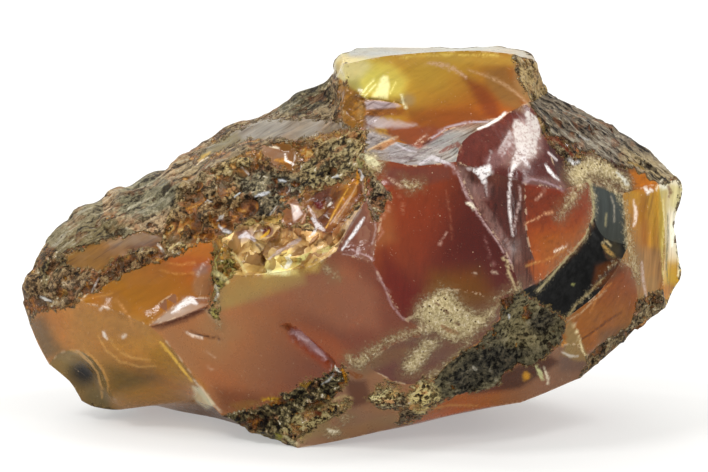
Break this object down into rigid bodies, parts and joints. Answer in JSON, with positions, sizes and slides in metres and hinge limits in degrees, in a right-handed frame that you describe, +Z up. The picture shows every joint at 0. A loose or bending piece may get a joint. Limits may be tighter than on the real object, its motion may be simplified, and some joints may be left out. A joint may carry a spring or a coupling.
{
  "type": "raw amber piece",
  "caption": "Rough lump of raw amber with glassy fracture faces, a broken-off knob on top and a dark grainy outer rind.",
  "frame": {"origin": "on the floor under the middle of the lump's box", "axes": "+Z up as it rests, +X along its length towards the pale thin edge, broad glassy front towards -Y"},
  "size_m": [0.0952, 0.0526, 0.0551],
  "materials": {
    "amber": "glassy red-brown to golden amber, see-through in thin places, with a matt grey-brown rind"
  },
  "bodies": {
    "root": {"raw_amber": "amber"}
  },
  "joints": []
}
